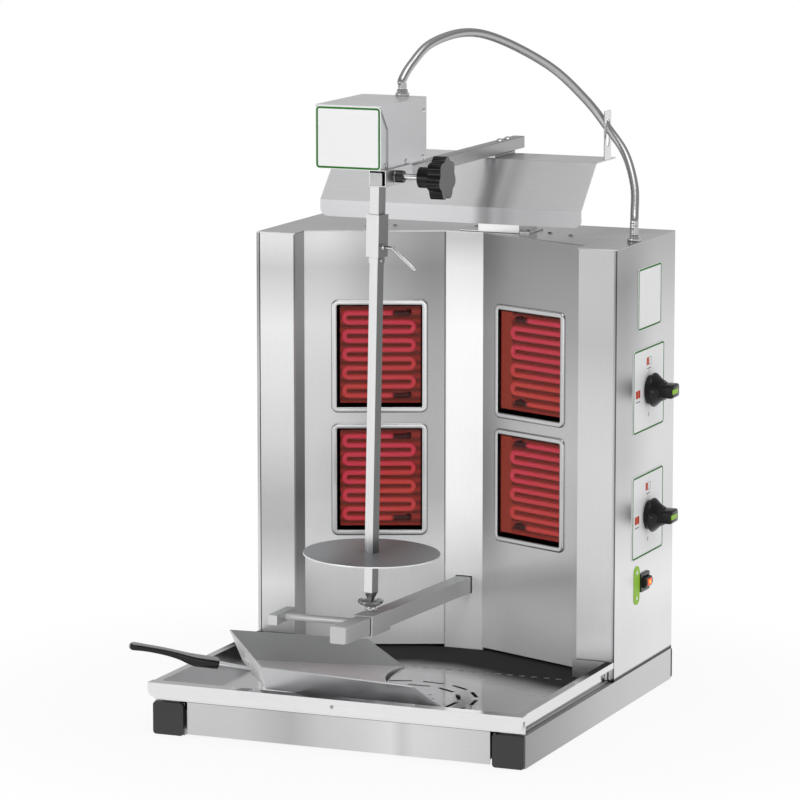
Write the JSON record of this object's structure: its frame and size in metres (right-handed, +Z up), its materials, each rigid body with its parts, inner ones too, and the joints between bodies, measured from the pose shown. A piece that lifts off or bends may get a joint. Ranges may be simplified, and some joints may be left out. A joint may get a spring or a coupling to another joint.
{
  "type": "electric skewer grill",
  "caption": "Free-standing electric skewer grill with a tall stainless heated cabinet, glowing glass windows, an upright motor-driven spit, a drip tray with drawer and a loose scoop",
  "frame": {"origin": "centre of the underside of the base, on the lower face of the middle crossbar between the rails", "axes": "X to the side with the switches, Y to the back of the cabinet, Z up along the spit"},
  "size_m": [0.5358, 0.5754, 0.8409],
  "materials": {
    "stainless_sheet": "satin",
    "stainless_tube": "satin",
    "polished_steel": "polished",
    "turned_steel": "polished",
    "metal_hose": "ribbed",
    "screw_steel": "polished",
    "cap_plastic": "matte",
    "knob_plastic": "satin",
    "heater_glass": "clear",
    "heating_wire": "glowing",
    "heater_enamel": "matte",
    "plate_film": "satin",
    "green_film": "satin",
    "switch_plastic": "satin",
    "lit_rocker": "glossy",
    "cast_housing": "cast",
    "terminal_plastic": "matte"
  },
  "bodies": {
    "frame": {"base_rail_left": "stainless_tube", "base_rail_right": "stainless_tube", "rail_end_caps": "cap_plastic", "base_crossbars": "stainless_tube", "tray_rests": "stainless_sheet", "drawer_runners": "stainless_sheet", "cabinet_floor": "stainless_sheet", "cabinet_side_left": "stainless_sheet", "cabinet_side_right": "stainless_sheet", "cabinet_back": "stainless_sheet", "pillar_left": "stainless_sheet", "pillar_right": "stainless_sheet", "heater_panel_left": "stainless_sheet", "heater_panel_right": "stainless_sheet", "centre_strip": "stainless_sheet", "lid": "stainless_sheet", "lid_screws": "screw_steel", "window_bezels": "polished_steel", "glass_panes": "heater_glass", "heating_elements": "heating_wire", "heater_boxes": "heater_enamel", "lower_arm": "stainless_tube", "upper_arm": "stainless_tube", "arm_caps": "terminal_plastic", "arm_seat": "stainless_sheet", "arm_screws": "screw_steel", "shield": "polished_steel", "shield_support": "stainless_sheet", "conduit": "metal_hose", "hose_fitting_lid": "turned_steel", "control_plates": "plate_film", "label_plate": "plate_film", "switch_label": "green_film", "rotary_switches": "switch_plastic", "rocker_frame": "switch_plastic", "cable_gland": "switch_plastic", "terminal_block": "terminal_plastic"},
    "carriage": {"motor_body": "stainless_sheet", "motor_cover": "stainless_sheet", "front_plate": "plate_film", "gearmotor": "cast_housing", "carriage_sleeve": "stainless_tube", "cover_screws": "screw_steel", "hose_fitting_top": "turned_steel"},
    "clamp_knob": {"clamp_knob": "knob_plastic"},
    "drive": {"drive_shaft": "stainless_sheet", "spit_chuck": "stainless_sheet"},
    "lock_lever": {"lock_lever": "turned_steel"},
    "slider": {"slider_sleeve": "stainless_tube", "pivot_cup": "turned_steel", "slider_handle": "stainless_tube"},
    "spit": {"spit_bar": "stainless_sheet"},
    "meat_disc": {"meat_disc": "polished_steel"},
    "upper_knob": {"upper_knob": "knob_plastic"},
    "lower_knob": {"lower_knob": "knob_plastic"},
    "rocker": {"rocker": "lit_rocker"},
    "drip_tray": {"drip_tray": "polished_steel"},
    "grease_drawer": {"grease_drawer": "stainless_sheet"},
    "scoop": {"scoop_pan": "stainless_sheet", "scoop_handle": "knob_plastic"}
  },
  "joints": [
    {"name": "carriage_slide", "type": "slide", "parent": "frame", "child": "carriage", "axis": [0, -1, 0], "range_m": [-0.1, 0.024], "deforming": ["conduit"]},
    {"name": "clamp_turn", "type": "hinge", "parent": "carriage", "child": "clamp_knob", "pos_m": [0.1, -0.182, 0.681], "axis": [1, 0, 0], "range_deg": [-360, 0]},
    {"name": "drive_spin", "type": "hinge", "parent": "carriage", "child": "drive", "pos_m": [0.00733, -0.14882, 0.64986], "axis": [0.0223, -0.0068, 0.9997], "continuous": true},
    {"name": "lock_lever_turn", "type": "hinge", "parent": "drive", "child": "lock_lever", "pos_m": [0.01762, -0.15153, 0.5916], "axis": [0.9656, -0.2588, -0.0233], "range_deg": [-90, 90]},
    {"name": "slider_slide", "type": "slide", "parent": "frame", "child": "slider", "axis": [0, -0.9994, 0.0349], "range_m": [-0.1, 0.024]},
    {"name": "spit_spin", "type": "hinge", "parent": "slider", "child": "spit", "pos_m": [-0.00049, -0.14644, 0.29996], "axis": [0.0223, -0.0068, 0.9997], "continuous": true},
    {"name": "disc_slide", "type": "slide", "parent": "spit", "child": "meat_disc", "axis": [0.0223, -0.0068, 0.9997], "range_m": [0, 0.3]},
    {"name": "upper_switch", "type": "hinge", "parent": "frame", "child": "upper_knob", "pos_m": [0.25, 0.163, 0.388], "axis": [1, 0, 0], "range_deg": [-90, 90]},
    {"name": "lower_switch", "type": "hinge", "parent": "frame", "child": "lower_knob", "pos_m": [0.25, 0.163, 0.23], "axis": [1, 0, 0], "range_deg": [-90, 90]},
    {"name": "rocker_tilt", "type": "hinge", "parent": "frame", "child": "rocker", "pos_m": [0.238, 0.152, 0.147], "axis": [0, 1, 0], "range_deg": [-10, 10]},
    {"name": "tray_slide", "type": "slide", "parent": "frame", "child": "drip_tray", "axis": [0, -1, 0], "range_m": [0, 0.3]},
    {"name": "drawer_slide", "type": "slide", "parent": "frame", "child": "grease_drawer", "axis": [0, -1, 0], "range_m": [0, 0.2]},
    {"name": "scoop_lift", "type": "slide", "parent": "drip_tray", "child": "scoop", "axis": [-0.771, -0.532, 0.35], "range_m": [0, 0.11]}
  ],
  "couplings": [
    {"joint": "slider_slide", "follows": "carriage_slide", "ratio": 1},
    {"joint": "spit_spin", "follows": "drive_spin", "ratio": 1}
  ]
}
